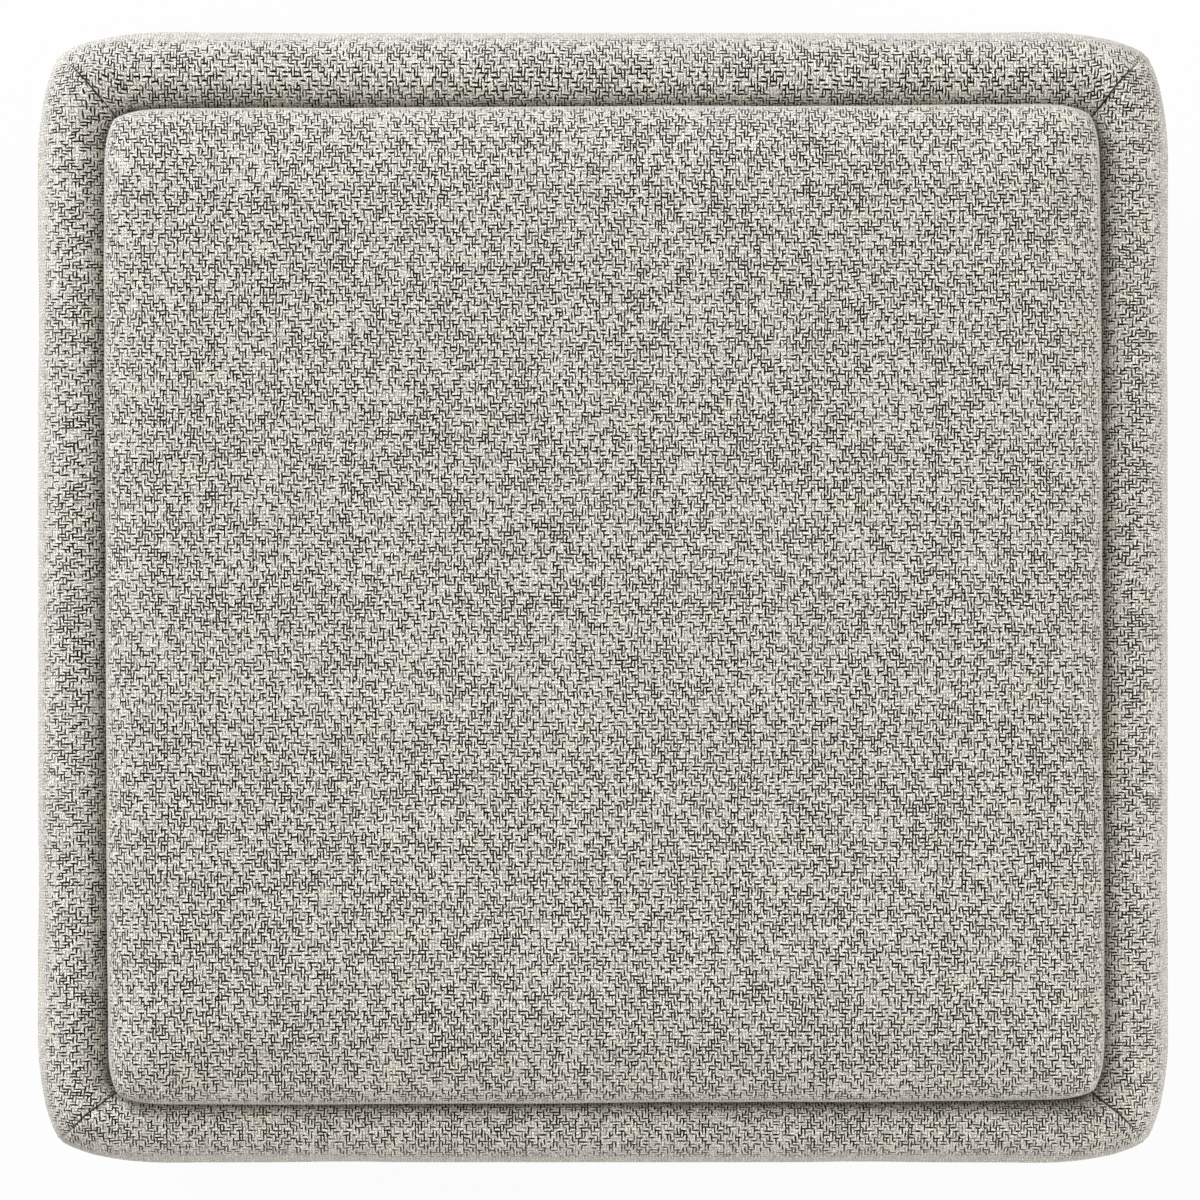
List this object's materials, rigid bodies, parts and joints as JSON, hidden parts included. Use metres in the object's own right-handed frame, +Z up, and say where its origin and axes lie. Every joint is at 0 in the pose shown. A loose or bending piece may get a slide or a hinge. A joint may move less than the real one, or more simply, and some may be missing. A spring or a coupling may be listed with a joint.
{
  "type": "storage ottoman",
  "caption": "Square padded storage ottoman in heathered tweed: a box with a mitred rolled rim and an inset padded lid that lifts off a lined well.",
  "frame": {"origin": "on the floor, at the centre of the footprint", "axes": "+Z up, along which the lid lifts; the front faces -Y; +X to the right seen from the front"},
  "size_m": [0.457, 0.457, 0.432],
  "materials": {
    "cover_cloth": "heathered tweed weave",
    "foam": "open-cell polyurethane foam",
    "plywood": "raw sanded",
    "pine": "raw planed",
    "liner_cloth": "non-woven, point bonded",
    "dust_cloth": "non-woven, point bonded",
    "glide_plastic": "moulded, fine texture",
    "zinc_steel": "bright zinc"
  },
  "bodies": {
    "box": {"back_board": "plywood", "back_cover": "cover_cloth", "back_ledge": "pine", "back_left_foot": "glide_plastic", "back_left_post": "pine", "back_liner": "liner_cloth", "back_right_foot": "glide_plastic", "back_right_post": "pine", "back_rim_foam": "foam", "back_wall_foam": "foam", "dust_cover": "dust_cloth", "floor_board": "plywood", "floor_liner": "liner_cloth", "floor_screws": "zinc_steel", "foot_screws": "zinc_steel", "front_board": "plywood", "front_cover": "cover_cloth", "front_ledge": "pine", "front_left_foot": "glide_plastic", "front_left_post": "pine", "front_liner": "liner_cloth", "front_right_foot": "glide_plastic", "front_right_post": "pine", "front_rim_foam": "foam", "front_wall_foam": "foam", "hem_staples": "zinc_steel", "ledge_screws": "zinc_steel", "left_board": "plywood", "left_cover": "cover_cloth", "left_ledge": "pine", "left_liner": "liner_cloth", "left_rim_foam": "foam", "left_wall_foam": "foam", "liner_staples": "zinc_steel", "right_board": "plywood", "right_cover": "cover_cloth", "right_ledge": "pine", "right_liner": "liner_cloth", "right_rim_foam": "foam", "right_wall_foam": "foam", "wall_screws": "zinc_steel"},
    "lid": {"lid_board": "plywood", "lid_cover": "cover_cloth", "lid_foam": "foam", "lid_lining": "liner_cloth", "lid_staples": "zinc_steel"}
  },
  "joints": [
    {"name": "lid_lift", "type": "slide", "parent": "box", "child": "lid", "axis": [0, 0, 1], "range_m": [0, 0.25]}
  ]
}
